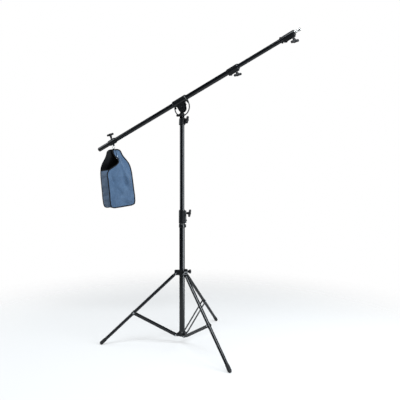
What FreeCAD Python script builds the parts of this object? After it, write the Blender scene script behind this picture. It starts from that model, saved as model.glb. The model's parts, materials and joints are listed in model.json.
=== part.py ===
import FreeCAD, Part
import math
import os

# Studio boom stand: a folding tripod base, a two-section column, a tilting head with an arc plate,
# a two-section boom with a spigot, and a counterweight bag. Millimetres, +Z up, the floor at Z = 0,
# the column axis on Z, and the boom lying over +X towards its spigot.

V = FreeCAD.Vector

# ---- clearances -------------------------------------------------------------------------------
RUN = 0.05            # radial clearance of a shaft or tube in its bore
GAP = 0.3             # clearance between faces that move past each other

# ---- tripod -----------------------------------------------------------------------------------
LEG_AZIMUTHS = (212.5, 92.5, 332.5)
PIVOT_R = 41.0        # leg and brace pins, from the column axis
LEG_PIVOT_Z = 450.0
HUB_PIN_Z = 57.0
FOOT_R = 513.0        # centre of the foot cap's round end
FOOT_CAP_R = 11.4
LEG_TUBE_R = 10.0
LEG_TUBE_WALL = 1.5
BRACE_SHARE = 0.57    # where the brace meets the leg, from its top pin to its foot
BRACE_IN = 12.0       # inner face of a brace strip, from the leg's middle plane
BRACE_T = 2.0
BRACE_W = 14.0
PIN_R = 3.0
PIN_HEAD_R = 5.0
PIN_HEAD_T = 2.2
CHEEK_IN = 10.3       # yoke cheek, inner face
CHEEK_T = 3.3

# ---- column -----------------------------------------------------------------------------------
LOWER_R = 17.5
LOWER_WALL = 2.0
LOWER_BOTTOM_Z = 52.0
HUB_BOTTOM_Z = 50.0
HUB_H = 29.0
YOKE_BOTTOM_Z = 444.0
YOKE_H = 28.0
RING_Z = 745.0
RING_H = 22.0
COLLAR_Z = 770.0
COLLAR_L = 89.0
COLLAR_WALL = 3.5
COLLAR_LIP = 14.0     # the end of a lock casting that the outer tube stops short of
RISER_R = 15.0
RISER_WALL = 1.5
RISER_BOTTOM_Z = 640.0
SOCKET_Z = 1405.0
SOCKET_L = 52.0

# ---- head and boom ----------------------------------------------------------------------------
TILT_Z = 1518.0
BOOM_TILT = 21.8
BOOM_V = 44.0         # boom axis above the tilt pin
SADDLE_HALF = 52.0
SADDLE_R = 21.5
LINER_WALL = 1.5
RING_PLATE_R = 55.0
RING_PLATE_W = 7.0
RING_PLATE_T = 3.0
CHEEK_HALF = 13.0     # saddle cheeks, outer face
TONGUE_HALF = 6.0
BOOM_R = 15.0
BOOM_WALL = 1.8
INNER_R = 12.5
INNER_WALL = 1.2
BOOM_TAIL = -748.0
BOOM_COLLAR_U = 368.0
BOOM_COLLAR_L = 78.0
INNER_START = 100.0
TIP_RING_U = 727.0
TIP_COLLAR_U = 738.0
TIP_COLLAR_L = 77.0
TIP_WALL = 4.5
SPIGOT_R = 7.94       # a 5/8 inch stud
SPIGOT_SHANK_R = 6.5  # the part of it inside the tip collar
SPIGOT_OUT = 35.0
WEIGHT_U = -616.0
WEIGHT_HALF = 30.0

# ---- knobs ------------------------------------------------------------------------------------
KNOB_WING = 50.0
KNOB_LOBE_R = 7.2
KNOB_T = 12.0
KNOB_HUB_R = 9.0
KNOB_NECK_R = 5.5
SHANK_R = 4.0

# ---- hook and bag -----------------------------------------------------------------------------
HOOK_DROP = 27.0      # hook eye, below the boom axis
HOOK_WIRE_R = 2.0
HOOK_LENGTH = 26.0
STRAP_W = 14.0
BAG_TURN = -21.0      # the bag's broad face, about the vertical
BAG_LEAN = 7.0        # the bag hangs a little askew, its foot towards its far side
BAG_TOP_DROP = 12.0   # the bag's top edge, below the middle of the hook's wire
BAG_H = 402.0
BAG_W = 196.0
BAG_T = 112.0
BAG_SHOULDER = 112.0  # from the top edge down to the full width
BAG_TOP_W = 80.0
BAG_TOP_T = 20.0

Z = V(0, 0, 1)


def cyl(r, length, at=V(0, 0, 0), along=Z):
    return Part.makeCylinder(r, length, at, along)


def tube(r_out, r_in, length, at=V(0, 0, 0), along=Z):
    return cyl(r_out, length, at, along).cut(cyl(r_in, length, at, along))


def block(x0, x1, y0, y1, z0, z1):
    return Part.makeBox(x1 - x0, y1 - y0, z1 - z0, V(x0, y0, z0))


def turned(points):
    """A solid of revolution about Z from (radius, z) points."""
    wire = Part.makePolygon([V(r, 0, z) for r, z in points + points[:1]])
    return Part.Face(wire).revolve(V(0, 0, 0), Z, 360)


def prism(points, y0, y1):
    """A plate whose outline is (x, z) points, from y0 to y1."""
    wire = Part.makePolygon([V(x, y0, z) for x, z in points + points[:1]])
    return Part.Face(wire).extrude(V(0, y1 - y0, 0))


def stadium(length, r, t):
    """A plate with round ends along Y, its thickness from x = 0 to t."""
    half = length / 2 - r
    plate = block(0, t, -half, half, -r, r)
    ends = [cyl(r, t, V(0, y, 0), V(1, 0, 0)) for y in (-half, half)]
    return plate.fuse(ends).removeSplitter()


def soften(shape, radius, pick):
    """Fillets the edges that pick(edge) chooses."""
    edges = [e for e in shape.Edges if pick(e)]
    return shape.makeFillet(radius, edges) if edges else shape


def moved(shape, turns=(), shift=(0, 0, 0)):
    """Turns a copy about each (axis, degrees) through the origin, then shifts it."""
    out = shape.copy()
    for axis, degrees in turns:
        out.rotate(V(0, 0, 0), V(*axis), degrees)
    out.translate(V(*shift))
    return out


def about_column(shape, azimuth):
    return moved(shape, [((0, 0, 1), azimuth)])


def on_head(shape):
    """From the head's frame (X along the boom, Z square to it, origin on the tilt pin) to the part's."""
    return moved(shape, [((0, 1, 0), -BOOM_TILT)], (0, 0, TILT_Z))


def write(name, *solids):
    pieces = [s for shape in solids for s in shape.Solids]
    bad = [s for s in pieces if not s.isValid() or s.Volume <= 0]
    if bad or not pieces:
        raise ValueError("bad solid in " + name)
    out = pieces[0] if len(pieces) == 1 else Part.makeCompound(pieces)
    out.exportStep("parts/" + name + ".step")
    volume = sum(s.Volume for s in pieces)
    print(f"{name}: {len(pieces)} solid(s), {volume / 1000:.2f} cm3")


# ---- shared pieces ----------------------------------------------------------------------------
def t_knob(face, tip, spin, reach=14.0):
    """A T-handle whose shank runs along X. face: the boss face; tip: the shank's inner end."""
    neck = face + GAP
    bar = neck + reach
    wing = stadium(KNOB_WING, KNOB_LOBE_R, KNOB_T)
    wing = soften(wing, 3.0, lambda e: abs(e.BoundBox.XLength) < 0.01)
    wing.translate(V(bar, 0, 0))
    out = wing.fuse([
        cyl(KNOB_HUB_R, KNOB_T + 3.0, V(bar - 3.0, 0, 0), V(1, 0, 0)),
        Part.makeCone(KNOB_NECK_R, KNOB_HUB_R, reach - 3.0, V(neck, 0, 0), V(1, 0, 0)),
        cyl(SHANK_R, neck - tip, V(tip, 0, 0), V(1, 0, 0)),
    ]).removeSplitter()
    return moved(out, [((1, 0, 0), spin)])


def clamp_casting(tube_r, slide_r, body_r, boss_r, boss_at, length, tube_end, knob_z, screw_z):
    """A lock casting along Z: a barrel round the tube's end and a boss on +X for its knob."""
    slope = 7.0
    waist = body_r - 1.6
    barrel = turned([(0, 0), (waist, 0), (body_r, slope), (body_r, length - slope), (waist, length),
                     (0, length)])
    reach = boss_at + boss_r
    lean = math.acos((body_r - boss_r) / boss_at)
    c, s = math.cos(lean), math.sin(lean)
    near = [V(body_r * c, side * body_r * s, 4.0) for side in (-1, 1)]
    far = [V(boss_at + boss_r * c, side * boss_r * s, 4.0) for side in (-1, 1)]
    centre = V(0, 0, 4.0)
    nose = Part.Arc(far[0], V(reach, 0, 4.0), far[1]).toShape()
    runs = [(near[0], far[0]), (far[1], near[1]), (near[1], centre), (centre, near[0])]
    lines = [Part.LineSegment(a, b).toShape() for a, b in runs]
    outline = Part.Wire([lines[0], nose] + lines[1:])
    boss = Part.Face(outline).extrude(V(0, 0, length - 8.0))
    boss = soften(boss, 2.0, lambda e: e.BoundBox.ZLength < 0.01 and e.BoundBox.XMin > body_r * c - 0.1)
    flat = block(reach - 1.5, reach + 5, -20, 20, 0, length)
    solid = barrel.fuse(boss).cut(flat).removeSplitter()
    solid = solid.cut(cyl(tube_r, length - 4.0))
    solid = solid.cut(cyl(slide_r + GAP, length))
    solid = solid.cut(cyl(SHANK_R + RUN, reach + 5, V(0, 0, knob_z), V(1, 0, 0)))
    solid = solid.cut(cyl(3.0, reach + 5, V(0, 0, screw_z), V(1, 0, 0)))
    bush = tube(tube_r, slide_r + RUN, length - 4.0 - tube_end, V(0, 0, tube_end))
    face = reach - 1.5
    head_r = 5.5
    screw = cyl(3.0, face - tube_r, V(tube_r, 0, screw_z), V(1, 0, 0))
    screw = screw.fuse(cyl(head_r, 4.0, V(face, 0, screw_z), V(1, 0, 0)))
    screw = soften(screw.removeSplitter(), 1.5, lambda e: abs(e.BoundBox.XMin - face - 4.0) < 0.01)
    return solid, bush, screw, face


def knob_window(tube_r, knob_z):
    """The way through a tube for a knob's shank."""
    return cyl(SHANK_R + GAP, tube_r * 2, V(0, 0, knob_z), V(1, 0, 0))


# ---- tripod -----------------------------------------------------------------------------------
LEG_DX = FOOT_R - PIVOT_R
LEG_DZ = LEG_PIVOT_Z - FOOT_CAP_R
LEG_L = math.hypot(LEG_DX, LEG_DZ)
LEG_ANGLE = math.degrees(math.atan2(LEG_DX, LEG_DZ))
LEG_TO_BRACE = BRACE_SHARE * LEG_L
JOIN_X = PIVOT_R + BRACE_SHARE * LEG_DX
JOIN_Z = LEG_PIVOT_Z - BRACE_SHARE * LEG_DZ
BRACE_L = math.hypot(JOIN_X - PIVOT_R, JOIN_Z - HUB_PIN_Z)
BRACE_ANGLE = math.degrees(math.atan2(JOIN_X - PIVOT_R, JOIN_Z - HUB_PIN_Z))
BRACE_OUT = BRACE_IN + BRACE_T
LEG_HALF = CHEEK_IN - GAP


def on_leg(shape):
    """From a leg's frame (origin on its top pin, the leg down -Z) to azimuth 0."""
    return moved(shape, [((0, 1, 0), -LEG_ANGLE)], (PIVOT_R, 0, LEG_PIVOT_Z))


def on_brace(shape):
    """From a brace's frame (origin on its hub pin, the brace up +Z) to azimuth 0."""
    return moved(shape, [((0, 1, 0), BRACE_ANGLE)], (PIVOT_R, 0, HUB_PIN_Z))


def cross_pin(half_grip):
    """A rivet along Y with a head past each side of the grip."""
    shank = cyl(PIN_R, 2 * half_grip, V(0, -half_grip, 0), V(0, 1, 0))
    heads = [cyl(PIN_HEAD_R, PIN_HEAD_T, V(0, side * half_grip, 0), V(0, side, 0)) for side in (-1, 1)]
    pin = shank.fuse(heads).removeSplitter()
    outer = half_grip + PIN_HEAD_T
    return soften(pin, 1.2, lambda e: abs(abs(e.BoundBox.YMin) - outer) < 0.01
                  and e.BoundBox.YLength < 0.01)


def make_legs():
    neck_end = -16.0
    plug_r = LEG_TUBE_R - LEG_TUBE_WALL
    eye = cyl(9.0, 2 * LEG_HALF, V(0, -LEG_HALF, 0), V(0, 1, 0))
    neck = block(-7.0, 7.0, -LEG_HALF, LEG_HALF, neck_end, 0)
    plug = cyl(plug_r, 24.0, V(0, 0, neck_end - 24.0))
    top = eye.fuse([neck, plug]).removeSplitter()
    top = top.cut(cyl(PIN_R + RUN, 30, V(0, -15, 0), V(0, 1, 0)))
    leg = tube(LEG_TUBE_R, plug_r, LEG_L + neck_end, V(0, 0, -LEG_L))
    clip_r = BRACE_IN - GAP
    clip = tube(clip_r, LEG_TUBE_R, 26.0, V(0, 0, -LEG_TO_BRACE - 13.0))
    clip = soften(clip, 0.8, lambda e: abs(e.BoundBox.XLength - 2 * clip_r) < 0.01)
    ball = Part.makeSphere(FOOT_CAP_R, V(0, 0, -LEG_L))
    sleeve = cyl(FOOT_CAP_R, 34.0, V(0, 0, -LEG_L))
    cap = ball.fuse(sleeve).removeSplitter().cut(cyl(LEG_TUBE_R, 40.0, V(0, 0, -LEG_L)))
    for n, azimuth in enumerate(LEG_AZIMUTHS, 1):
        write(f"leg_{n}_tube", about_column(on_leg(leg), azimuth))
        write(f"leg_{n}_eye", about_column(on_leg(top), azimuth))
        write(f"leg_{n}_clip", about_column(on_leg(clip), azimuth))
        write(f"leg_{n}_foot_cap", about_column(on_leg(cap), azimuth))


def make_braces():
    strips = []
    rivets = []
    for side in (-1, 1):
        y0 = side * BRACE_IN
        half = BRACE_W / 2
        strip = block(-half, half, min(y0, y0 + side * BRACE_T), max(y0, y0 + side * BRACE_T), 0, BRACE_L)
        ends = [cyl(half, BRACE_T, V(0, y0, z), V(0, side, 0)) for z in (0, BRACE_L)]
        strip = strip.fuse(ends).removeSplitter()
        strip = strip.cut(cyl(PIN_R + RUN, 60, V(0, -30, 0), V(0, 1, 0)))
        strip = strip.cut(cyl(PIN_R, 60, V(0, -30, BRACE_L), V(0, 1, 0)))
        strips.append(strip)
        shank = cyl(PIN_R, BRACE_T, V(0, y0, BRACE_L), V(0, side, 0))
        head = cyl(PIN_HEAD_R, PIN_HEAD_T, V(0, side * BRACE_OUT, BRACE_L), V(0, side, 0))
        outer = BRACE_OUT + PIN_HEAD_T
        rivet = soften(shank.fuse(head).removeSplitter(), 1.2,
                       lambda e: abs(abs(e.BoundBox.YMin) - outer) < 0.01 and e.BoundBox.YLength < 0.01)
        rivets.append(rivet)
    for n, azimuth in enumerate(LEG_AZIMUTHS, 1):
        write(f"brace_{n}_strips", *[about_column(on_brace(s), azimuth) for s in strips])
        write(f"brace_{n}_rivets", *[about_column(on_brace(r), azimuth) for r in rivets])


def make_hub():
    top = HUB_BOTTOM_Z + HUB_H
    wall = LOWER_R + 4.5
    ring = turned([(0, HUB_BOTTOM_Z), (wall, HUB_BOTTOM_Z), (wall, top - 3), (wall - 3, top), (0, top)])
    half = BRACE_IN - GAP
    eye_r = HUB_PIN_Z - HUB_BOTTOM_Z
    lug = block(0, PIVOT_R, -half, half, HUB_BOTTOM_Z, HUB_PIN_Z + eye_r)
    lug = lug.fuse(cyl(eye_r, 2 * half, V(PIVOT_R, -half, HUB_PIN_Z), V(0, 1, 0))).removeSplitter()
    web = prism([(0, HUB_PIN_Z), (PIVOT_R - 6, HUB_PIN_Z + eye_r), (wall - 2, top - 4), (0, top - 4)], -5, 5)
    lug = lug.fuse(web).cut(cyl(PIN_R, 60, V(PIVOT_R, -30, HUB_PIN_Z), V(0, 1, 0)))
    hub = ring.fuse([about_column(lug, a) for a in LEG_AZIMUTHS]).removeSplitter()
    hub = hub.cut(cyl(LOWER_R, 200, V(0, 0, 0)))
    write("hub", hub)
    pin = moved(cross_pin(BRACE_OUT + GAP), (), (PIVOT_R, 0, HUB_PIN_Z))
    write("hub_pins", *[about_column(pin, a) for a in LEG_AZIMUTHS])
    bore = LOWER_R - LOWER_WALL
    plug = cyl(LOWER_R, 2.0, V(0, 0, HUB_BOTTOM_Z)).fuse(cyl(bore, 14.0, V(0, 0, LOWER_BOTTOM_Z)))
    write("column_plug", plug.removeSplitter())


YOKE_KNOB_AZ = 32.4
YOKE_KNOB_Z = 462.0
YOKE_BOSS_R = 31.0


def make_yoke():
    top = YOKE_BOTTOM_Z + YOKE_H
    wall = LOWER_R + 4.5
    ring = turned([(0, YOKE_BOTTOM_Z), (wall, YOKE_BOTTOM_Z), (wall, top - 2.5), (wall - 2.5, top), (0, top)])
    outer = CHEEK_IN + CHEEK_T
    low = YOKE_BOTTOM_Z - 3.0
    nose = 8.0
    lug = block(0, PIVOT_R, -outer, outer, low, top).fuse(
        block(PIVOT_R - 1, PIVOT_R + nose, -outer, outer, low, top))
    lug = lug.removeSplitter()
    lug = soften(lug, 6.0, lambda e: e.BoundBox.XMin > PIVOT_R and e.BoundBox.YLength > outer)
    lug = lug.cut(block(29.0, 80, -CHEEK_IN, CHEEK_IN, low - 1, LEG_PIVOT_Z + 11.5))
    lug = lug.cut(cyl(PIN_R, 60, V(PIVOT_R, -30, LEG_PIVOT_Z), V(0, 1, 0)))
    boss = block(0, YOKE_BOSS_R, -9, 9, YOKE_BOTTOM_Z + 6, top + 4)
    boss = soften(boss, 4.0, lambda e: e.BoundBox.XMin > YOKE_BOSS_R - 0.1 and e.BoundBox.YLength > 10)
    yoke = ring.fuse([about_column(lug, a) for a in LEG_AZIMUTHS] + [about_column(boss, YOKE_KNOB_AZ)])
    yoke = yoke.removeSplitter().cut(cyl(LOWER_R + RUN, 200, V(0, 0, LEG_PIVOT_Z - 100)))
    hole = cyl(SHANK_R + RUN, 60, V(0, 0, YOKE_KNOB_Z), V(1, 0, 0))
    yoke = yoke.cut(about_column(hole, YOKE_KNOB_AZ))
    write("yoke", yoke)
    pin = moved(cross_pin(outer), (), (PIVOT_R, 0, LEG_PIVOT_Z))
    write("leg_pins", *[about_column(pin, a) for a in LEG_AZIMUTHS])
    knob = t_knob(YOKE_BOSS_R, LOWER_R + GAP, spin=8.0)
    write("yoke_knob", about_column(moved(knob, (), (0, 0, YOKE_KNOB_Z)), YOKE_KNOB_AZ))


# ---- column -----------------------------------------------------------------------------------
COLLAR_AZ = 10.0
COLLAR_KNOB_Z = 68.0
COLLAR_SCREW_Z = 22.0


def make_column():
    tube_end = COLLAR_L - COLLAR_LIP
    body, bush, screw, face = clamp_casting(
        LOWER_R, RISER_R, body_r=LOWER_R + COLLAR_WALL, boss_r=9.0, boss_at=20.5, length=COLLAR_L,
        tube_end=tube_end, knob_z=COLLAR_KNOB_Z, screw_z=COLLAR_SCREW_Z)
    window = knob_window(LOWER_R, COLLAR_KNOB_Z)
    bush = bush.cut(window)
    lower = tube(LOWER_R, LOWER_R - LOWER_WALL, COLLAR_Z + tube_end - LOWER_BOTTOM_Z,
                 V(0, 0, LOWER_BOTTOM_Z))
    place = [((0, 0, 1), COLLAR_AZ)]
    lower = lower.cut(moved(window, place, (0, 0, COLLAR_Z)))
    knob = moved(t_knob(face, RISER_R + GAP, spin=65.0, reach=18.0), (), (0, 0, COLLAR_KNOB_Z))
    for name, shape in (("column_collar", body), ("column_bush", bush), ("collar_screw", screw),
                        ("collar_knob", knob)):
        write(name, moved(shape, place, (0, 0, COLLAR_Z)))
    write("lower_tube", lower)
    ring_r = LOWER_R + 3.0
    ring = turned([(0, 0), (ring_r - 1.5, 0), (ring_r, 2), (ring_r, RING_H - 2), (ring_r - 1.5, RING_H),
                   (0, RING_H)])
    lug = soften(block(0, ring_r + 5.5, -6, 6, 1, RING_H - 1), 3.0,
                 lambda e: e.BoundBox.XMin > ring_r and e.BoundBox.XLength < 0.01)
    ring = ring.fuse(lug).removeSplitter().cut(cyl(LOWER_R, RING_H))
    write("stop_ring", moved(ring, [((0, 0, 1), COLLAR_AZ + 10)], (0, 0, RING_Z)))
    riser_top = SOCKET_Z + SOCKET_L - 7.0
    riser = tube(RISER_R, RISER_R - RISER_WALL, riser_top - RISER_BOTTOM_Z, V(0, 0, RISER_BOTTOM_Z))
    write("riser_tube", riser)
    guide_r = LOWER_R - LOWER_WALL - RUN
    guide = cyl(guide_r, 12.0, V(0, 0, RISER_BOTTOM_Z - 12)).fuse(
        cyl(RISER_R - RISER_WALL, 20.0, V(0, 0, RISER_BOTTOM_Z)))
    write("riser_guide", guide.removeSplitter())


# ---- head -------------------------------------------------------------------------------------
PAN_KNOB_AZ = -7.0
PAN_KNOB_Z = 29.0
BLOCK_HALF = 12.0
TILT_PIN_R = 5.0
CLAMP_Z = TILT_Z - RING_PLATE_R


def make_head():
    top = SOCKET_Z + SOCKET_L
    wall = RISER_R + 5.3
    cone_top = top - 3.0
    post = turned([(0, SOCKET_Z), (wall - 1, SOCKET_Z), (wall, SOCKET_Z + 3), (wall - 1.5, top - 13),
                   (BLOCK_HALF, cone_top), (0, cone_top)])
    boss_face = wall + 5.0
    boss = soften(block(0, boss_face, -9, 9, SOCKET_Z + 4, top - 9), 3.0,
                  lambda e: e.BoundBox.XMin > wall and e.BoundBox.XLength < 0.01)
    neck_top = TILT_Z - 38.0
    neck = block(-BLOCK_HALF, BLOCK_HALF, -BLOCK_HALF, BLOCK_HALF, cone_top - 3, neck_top)
    neck = soften(neck, 3.0, lambda e: e.BoundBox.ZLength > 10)
    tongue_w = 11.0
    tongue = block(-tongue_w, tongue_w, -TONGUE_HALF, TONGUE_HALF, neck_top - 5, TILT_Z)
    tongue = tongue.fuse(cyl(tongue_w, 2 * TONGUE_HALF, V(0, -TONGUE_HALF, TILT_Z), V(0, 1, 0)))
    post = post.fuse([about_column(boss, PAN_KNOB_AZ), neck, tongue]).removeSplitter()
    post = post.cut(cyl(RISER_R + RUN, SOCKET_L - 6.0, V(0, 0, SOCKET_Z)))
    slot = RING_PLATE_T / 2 + GAP
    reach = RING_PLATE_W / 2 + 2.5
    post = post.cut(block(-40, 40, -slot, slot, CLAMP_Z - reach + 0.5, CLAMP_Z + reach + 1.5))
    post = post.cut(cyl(TILT_PIN_R, 60, V(0, -30, TILT_Z), V(0, 1, 0)))
    post = post.cut(cyl(SHANK_R + RUN, 40, V(0, 0, CLAMP_Z), V(0, -1, 0)))
    hole = cyl(SHANK_R + RUN, 60, V(0, 0, SOCKET_Z + PAN_KNOB_Z), V(1, 0, 0))
    post = post.cut(about_column(hole, PAN_KNOB_AZ))
    write("head_post", post)
    knob = moved(t_knob(boss_face, RISER_R + GAP, spin=75.0, reach=11.0), (), (0, 0, SOCKET_Z + PAN_KNOB_Z))
    write("pan_knob", about_column(knob, PAN_KNOB_AZ))
    lock = moved(t_knob(BLOCK_HALF, slot + 0.1, spin=0.0, reach=8.0), [((0, 0, 1), -90)], (0, 0, CLAMP_Z))
    write("tilt_knob", lock)
    grip = CHEEK_HALF + GAP
    bolt = cyl(TILT_PIN_R, 2 * grip, V(0, -grip, TILT_Z), V(0, 1, 0))
    head = cyl(8.5, 4.0, V(0, -grip, TILT_Z), V(0, -1, 0))
    head = soften(head, 1.5, lambda e: abs(e.BoundBox.YMin + grip + 4.0) < 0.01 and e.BoundBox.YLength < 0.01)
    write("tilt_bolt", bolt.fuse(head).removeSplitter())
    flats = [V(9.0 * math.cos(math.radians(a)), grip, 9.0 * math.sin(math.radians(a)))
             for a in range(0, 361, 60)]
    nut = Part.Face(Part.makePolygon(flats)).extrude(V(0, 6.0, 0))
    nut.translate(V(0, 0, TILT_Z))
    write("tilt_nut", nut)


def make_saddle():
    sleeve = turned([(0, -SADDLE_HALF), (SADDLE_R - 2, -SADDLE_HALF), (SADDLE_R, 4 - SADDLE_HALF),
                     (SADDLE_R, SADDLE_HALF - 4), (SADDLE_R - 2, SADDLE_HALF), (0, SADDLE_HALF)])
    sleeve = moved(sleeve, [((0, 1, 0), 90)], (0, 0, BOOM_V))
    dome_r = 24.0
    dome_z = -8.0
    shoulder = 31.0
    rise = BOOM_V - SADDLE_R + 6.0
    far = math.hypot(shoulder, rise - dome_z)
    touch = math.atan2(rise - dome_z, shoulder) - math.acos(dome_r / far)
    tx, tz = dome_r * math.cos(touch), dome_z + dome_r * math.sin(touch)
    outline = [(-shoulder, BOOM_V), (-shoulder, rise), (-tx, tz), (tx, tz), (shoulder, rise),
               (shoulder, BOOM_V)]
    cheeks = prism(outline, -CHEEK_HALF, CHEEK_HALF).fuse(
        cyl(dome_r, 2 * CHEEK_HALF, V(0, -CHEEK_HALF, dome_z), V(0, 1, 0))).removeSplitter()
    inner = TONGUE_HALF + GAP
    cheeks = cheeks.cut(block(-60, 60, -inner, inner, -60, BOOM_V - SADDLE_R - 3))
    lug_in = RING_PLATE_T / 2
    tip = SADDLE_HALF + 4
    lugs = [block(min(a, b), max(a, b), lug_in, lug_in + 6, 12, BOOM_V - BOOM_R - 4)
            for a, b in ((SADDLE_HALF - 8, tip), (8 - SADDLE_HALF, -tip))]
    boss_face = SADDLE_R + 5.0
    boss = cyl(9.0, boss_face, V(0, 0, BOOM_V), V(0, 1, 0))
    saddle = sleeve.fuse([cheeks, boss] + lugs).removeSplitter()
    liner_r = BOOM_R + LINER_WALL
    along = V(1, 0, 0)
    saddle = saddle.cut(cyl(liner_r, 4 * SADDLE_HALF, V(-2 * SADDLE_HALF, 0, BOOM_V), along))
    saddle = saddle.cut(cyl(TILT_PIN_R + RUN, 60, V(0, -30, 0), V(0, 1, 0)))
    saddle = saddle.cut(cyl(SHANK_R + RUN, 60, V(0, 0, BOOM_V), V(0, 1, 0)))
    liner = tube(liner_r, BOOM_R + RUN, 2 * SADDLE_HALF, V(-SADDLE_HALF, 0, BOOM_V), along)
    liner = liner.cut(cyl(SHANK_R + GAP, 60, V(0, 0, BOOM_V), V(0, 1, 0)))
    end = math.radians(20.0)
    half = RING_PLATE_T / 2
    outer = cyl(RING_PLATE_R + RING_PLATE_W / 2, RING_PLATE_T, V(0, -half, 0), V(0, 1, 0))
    hole = cyl(RING_PLATE_R - RING_PLATE_W / 2, RING_PLATE_T, V(0, -half, 0), V(0, 1, 0))
    far_x = 2 * RING_PLATE_R
    wedge = prism([(0, 0), (far_x * math.cos(end), far_x * math.sin(end)), (far_x, far_x),
                   (-far_x, far_x), (-far_x * math.cos(end), far_x * math.sin(end))], -half, half)
    ring = outer.cut(hole).cut(wedge)
    screw_at = math.radians(16.5)
    sx, sz = RING_PLATE_R * math.cos(screw_at), RING_PLATE_R * math.sin(screw_at)
    screws = []
    for x in (-sx, sx):
        hole = cyl(2.0, 60, V(x, -30, sz), V(0, 1, 0))
        ring = ring.cut(hole)
        saddle = saddle.cut(hole)
        shank = cyl(2.0, half + lug_in + 6, V(x, -half, sz), V(0, 1, 0))
        screws.append(shank.fuse(cyl(3.2, 2.0, V(x, -half, sz), V(0, -1, 0))).removeSplitter())
    write("saddle", on_head(saddle))
    write("saddle_liner", on_head(liner))
    write("arc_plate", on_head(ring))
    write("arc_screws", *[on_head(s) for s in screws])
    knob = moved(t_knob(boss_face, BOOM_R + GAP, spin=70.0), [((0, 0, 1), 90)], (0, 0, BOOM_V))
    write("boom_lock_knob", on_head(knob))


# ---- boom -------------------------------------------------------------------------------------
def on_boom(shape, u=0.0):
    """A piece along Z with its boss on +X, laid along the boom with the boss underneath."""
    return on_head(moved(shape, [((0, 1, 0), 90)], (u, 0, BOOM_V)))


def make_boom():
    tube_end = BOOM_COLLAR_L - COLLAR_LIP
    knob_z, screw_z = BOOM_COLLAR_L - 23.0, 18.0
    body, bush, screw, face = clamp_casting(
        BOOM_R, INNER_R, body_r=BOOM_R + COLLAR_WALL, boss_r=8.0, boss_at=18.0, length=BOOM_COLLAR_L,
        tube_end=tube_end, knob_z=knob_z, screw_z=screw_z)
    window = knob_window(BOOM_R, knob_z)
    outer_l = BOOM_COLLAR_U + tube_end - BOOM_TAIL
    outer = tube(BOOM_R, BOOM_R - BOOM_WALL, outer_l)
    outer = outer.cut(moved(window, (), (0, 0, BOOM_COLLAR_U - BOOM_TAIL)))
    write("boom_outer_tube", on_boom(outer, BOOM_TAIL))
    bore = BOOM_R - BOOM_WALL
    cap = cyl(BOOM_R, 3.0, V(0, 0, -3)).fuse(cyl(bore, 16.0))
    write("boom_tail_cap", on_boom(cap.removeSplitter(), BOOM_TAIL))
    knob = moved(t_knob(face, INNER_R + GAP, spin=48.0, reach=14.0), (), (0, 0, knob_z))
    for name, shape in (("boom_collar", body), ("boom_bush", bush.cut(window)), ("boom_collar_screw", screw),
                        ("boom_collar_knob", knob)):
        write(name, on_boom(shape, BOOM_COLLAR_U))

    inner_end = TIP_COLLAR_U + TIP_COLLAR_L / 2
    inner = tube(INNER_R, INNER_R - INNER_WALL, inner_end - INNER_START)
    write("boom_inner_tube", on_boom(inner, INNER_START))
    guide = cyl(bore - RUN, 14.0, V(0, 0, -14)).fuse(cyl(INNER_R - INNER_WALL, 18.0))
    write("boom_inner_guide", on_boom(guide.removeSplitter(), INNER_START))
    collar_l = TIP_COLLAR_U - TIP_RING_U
    ring_r = INNER_R + 7.0
    ring = turned([(0, 0), (ring_r - 2, 0), (ring_r, 2), (ring_r, collar_l - 3), (ring_r - 3, collar_l - 1),
                   (0, collar_l - 1)])
    write("tip_stop_ring", on_boom(ring.cut(cyl(INNER_R, collar_l)), TIP_RING_U))

    deep = TIP_COLLAR_L / 2
    knob_z = TIP_COLLAR_L - 18.0
    tip, _, tip_screw, face = clamp_casting(
        INNER_R, SPIGOT_SHANK_R - GAP, body_r=INNER_R + TIP_WALL, boss_r=7.5, boss_at=16.5,
        length=TIP_COLLAR_L, tube_end=TIP_COLLAR_L - 6.0, knob_z=knob_z, screw_z=17.0)
    web = cyl(INNER_R, TIP_COLLAR_L - 4.0 - deep, V(0, 0, deep))
    seat = cyl(SPIGOT_SHANK_R, TIP_COLLAR_L - deep - 3.0, V(0, 0, deep + 3.0))
    shank_way = cyl(SHANK_R + RUN, 40, V(0, 0, knob_z), V(1, 0, 0))
    tip = tip.fuse(web).removeSplitter().cut(seat).cut(shank_way)
    write("tip_collar", on_boom(tip, TIP_COLLAR_U))
    write("tip_screw", on_boom(tip_screw, TIP_COLLAR_U))
    base = deep + 3.0
    end = TIP_COLLAR_L + SPIGOT_OUT
    neck_z = TIP_COLLAR_L + 12.0
    spigot = turned([(0, base), (SPIGOT_SHANK_R, base), (SPIGOT_SHANK_R, TIP_COLLAR_L),
                     (SPIGOT_R, TIP_COLLAR_L), (SPIGOT_R, neck_z), (SPIGOT_R - 1.8, neck_z + 2),
                     (SPIGOT_R - 1.8, neck_z + 9), (SPIGOT_R, neck_z + 11), (SPIGOT_R, end - 1.5),
                     (SPIGOT_R - 1.5, end), (0, end)])
    write("spigot", on_boom(spigot, TIP_COLLAR_U))
    tip_knob = moved(t_knob(face, SPIGOT_SHANK_R + GAP, spin=48.0, reach=17.0), (), (0, 0, knob_z))
    write("tip_knob", on_boom(tip_knob, TIP_COLLAR_U))


# ---- counterweight ----------------------------------------------------------------------------

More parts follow.
